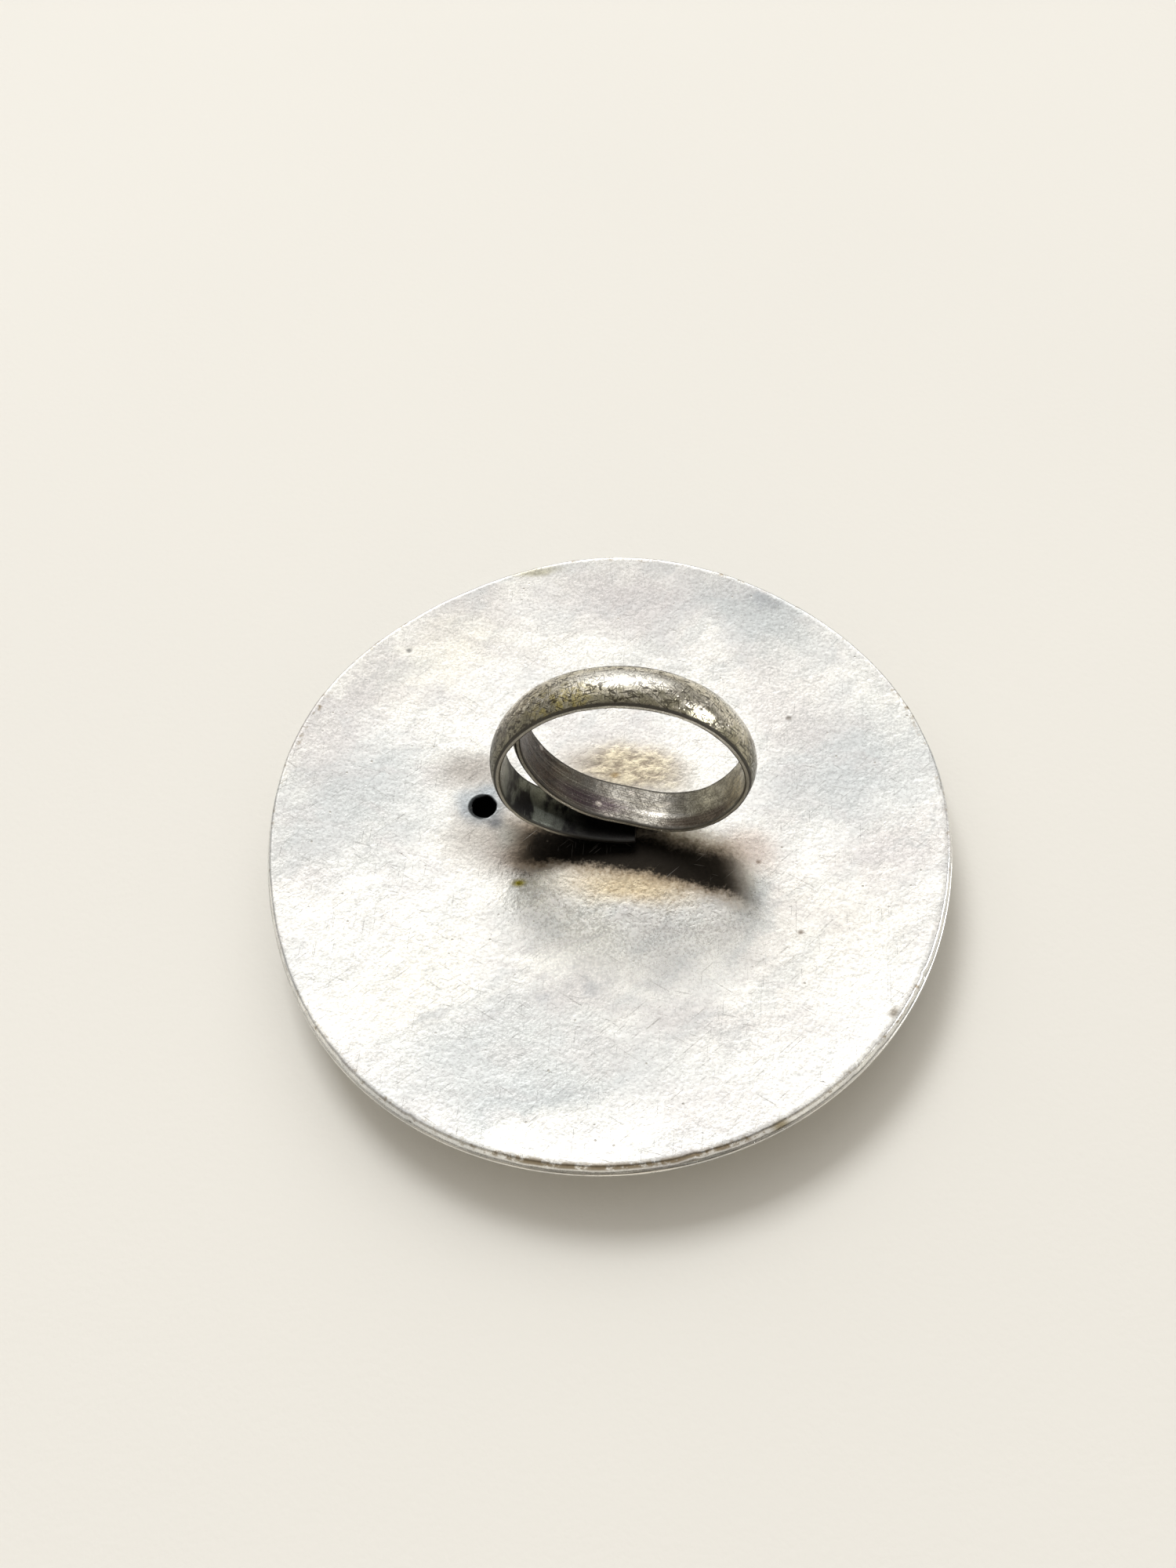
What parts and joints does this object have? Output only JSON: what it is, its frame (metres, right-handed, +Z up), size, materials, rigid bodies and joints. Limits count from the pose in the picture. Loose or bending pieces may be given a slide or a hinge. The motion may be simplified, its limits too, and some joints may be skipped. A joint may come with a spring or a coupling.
{
  "type": "disc finger ring",
  "caption": "Finger ring with a large round hollow head lying face down and an open, overlapping D-section band on its back that bends open to fit.",
  "frame": {"origin": "under the middle of the head, on the surface that it lies on face down", "axes": "+Z up, out of the back of the head towards the band's crown; -Y towards the viewer who looks through the band; +X to that viewer's right"},
  "size_m": [0.055, 0.055, 0.0232],
  "materials": {
    "silver_face": "lightly planished sheet silver, satin",
    "silver_back": "satin sheet silver with cloudy patina and heat stain",
    "worn_band": "worn, scratched and tarnished silver",
    "dark_solder": "dark, rough silver solder"
  },
  "bodies": {
    "head": {"front_shell": "silver_face", "rim_solder_seam": "dark_solder", "back_plate": "silver_back", "band_fixed_leg": "worn_band", "foot_solder": "dark_solder"},
    "free_leg": {"band_free_leg": "worn_band"}
  },
  "joints": [
    {"name": "band_spread", "type": "hinge", "parent": "head", "child": "free_leg", "pos_m": [0.00199, 0.00186, 0.02318], "axis": [-0.1379, -0.9809, 0.1374], "range_deg": [0, 12]}
  ]
}
